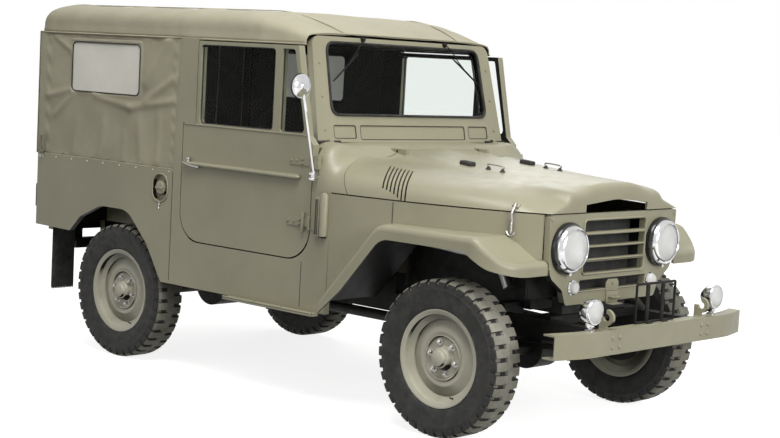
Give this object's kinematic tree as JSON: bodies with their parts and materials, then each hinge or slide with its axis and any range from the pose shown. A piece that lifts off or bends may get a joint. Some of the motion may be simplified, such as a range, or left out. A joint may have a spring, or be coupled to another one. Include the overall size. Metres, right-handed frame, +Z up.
{
  "type": "army four-wheel-drive field car",
  "caption": "Short open-bodied four-wheel-drive field car with canvas top, two doors, opening hood and tailgate, steered front wheels.",
  "frame": {"origin": "on the ground under the car's centreline, midway between the rear buffers and the front bumper", "axes": "+X forward, +Y to the car's left, +Z up"},
  "size_m": [3.73, 1.789, 1.8978],
  "materials": {
    "body_paint": "semi-matt khaki grey",
    "wheel_paint": "semi-matt khaki grey",
    "chassis_black": "satin black",
    "cast_metal": "rough cast",
    "lamp_chrome": "polished",
    "window_glass": "clear",
    "canvas": "proofed canvas",
    "seat_cover": "worn vinyl",
    "tyre_rubber": "matt",
    "flap_rubber": "matt",
    "wheel_plastic": "gloss"
  },
  "bodies": {
    "car": {"arm_signals": "body_paint", "body_side_left": "body_paint", "body_side_right": "body_paint", "canopy": "canvas", "chassis_frame": "chassis_black", "cowl": "body_paint", "dashboard": "body_paint", "drivetrain": "cast_metal", "engine": "cast_metal", "engine_sides": "body_paint", "exhaust": "chassis_black", "fender_left": "body_paint", "fender_right": "body_paint", "firewall": "body_paint", "fog_lamps": "lamp_chrome", "front_axle": "chassis_black", "front_bumper": "body_paint", "front_floor": "body_paint", "front_lamps": "lamp_chrome", "front_panel": "body_paint", "front_seats": "seat_cover", "fuel_tank": "chassis_black", "mirror": "lamp_chrome", "mud_flaps": "flap_rubber", "radiator": "cast_metal", "rear_axle": "chassis_black", "rear_benches": "seat_cover", "rear_curtain": "canvas", "rear_floor": "body_paint", "side_curtains": "canvas", "side_steps": "body_paint", "steering_column": "chassis_black", "tunnel": "body_paint", "windscreen_frame": "body_paint", "windscreen_glass": "window_glass"},
    "hood": {"hood": "body_paint"},
    "door_left": {"door_left": "body_paint", "door_glass_left": "window_glass"},
    "door_right": {"door_right": "body_paint", "door_glass_right": "window_glass"},
    "tailgate": {"tailgate": "body_paint"},
    "knuckle_left": {"knuckle_left": "chassis_black"},
    "knuckle_right": {"knuckle_right": "chassis_black"},
    "tie_rod": {"tie_rod": "chassis_black"},
    "steering_wheel": {"steering_wheel": "wheel_plastic"},
    "wheel_front_left": {"tyre_front_left": "tyre_rubber", "rim_front_left": "wheel_paint"},
    "wheel_front_right": {"tyre_front_right": "tyre_rubber", "rim_front_right": "wheel_paint"},
    "wheel_rear_left": {"tyre_rear_left": "tyre_rubber", "rim_rear_left": "wheel_paint"},
    "wheel_rear_right": {"tyre_rear_right": "tyre_rubber", "rim_rear_right": "wheel_paint"}
  },
  "joints": [
    {"name": "hood_hinge", "type": "hinge", "parent": "car", "child": "hood", "pos_m": [0.481, 0, 1.24], "axis": [0, -1, 0], "range_deg": [0, 50]},
    {"name": "door_left_hinge", "type": "hinge", "parent": "car", "child": "door_left", "pos_m": [0.368, 0.788, 1], "axis": [0, 0, -1], "range_deg": [0, 70]},
    {"name": "door_right_hinge", "type": "hinge", "parent": "car", "child": "door_right", "pos_m": [0.368, -0.788, 1], "axis": [0, 0, 1], "range_deg": [0, 70]},
    {"name": "tailgate_hinge", "type": "hinge", "parent": "car", "child": "tailgate", "pos_m": [-1.8215, 0, 0.659], "axis": [0, -1, 0], "range_deg": [0, 90]},
    {"name": "steer_left", "type": "hinge", "parent": "car", "child": "knuckle_left", "pos_m": [1.2, 0.6, 0.358], "axis": [0, 0, 1], "range_deg": [-29, 29]},
    {"name": "steer_right", "type": "hinge", "parent": "car", "child": "knuckle_right", "pos_m": [1.2, -0.6, 0.358], "axis": [0, 0, 1], "range_deg": [-29, 29]},
    {"name": "tie_rod_pivot", "type": "hinge", "parent": "knuckle_left", "child": "tie_rod", "pos_m": [1.08, 0.6, 0.284], "axis": [0, 0, 1], "range_deg": [-29, 29]},
    {"name": "steering_wheel_turn", "type": "hinge", "parent": "car", "child": "steering_wheel", "pos_m": [0.07, -0.36, 1.11], "axis": [-0.6157, 0, 0.788], "range_deg": [-410, 410]},
    {"name": "wheel_front_left_spin", "type": "hinge", "parent": "knuckle_left", "child": "wheel_front_left", "pos_m": [1.2, 0.7, 0.358], "axis": [0, 1, 0], "continuous": true},
    {"name": "wheel_front_right_spin", "type": "hinge", "parent": "knuckle_right", "child": "wheel_front_right", "pos_m": [1.2, -0.7, 0.358], "axis": [0, 1, 0], "continuous": true},
    {"name": "wheel_rear_left_spin", "type": "hinge", "parent": "car", "child": "wheel_rear_left", "pos_m": [-1.085, 0.68, 0.358], "axis": [0, 1, 0], "continuous": true},
    {"name": "wheel_rear_right_spin", "type": "hinge", "parent": "car", "child": "wheel_rear_right", "pos_m": [-1.085, -0.68, 0.358], "axis": [0, 1, 0], "continuous": true}
  ],
  "couplings": [
    {"joint": "steer_right", "follows": "steer_left", "ratio": 1},
    {"joint": "tie_rod_pivot", "follows": "steer_left", "ratio": -1},
    {"joint": "steering_wheel_turn", "follows": "steer_left", "ratio": 14}
  ]
}
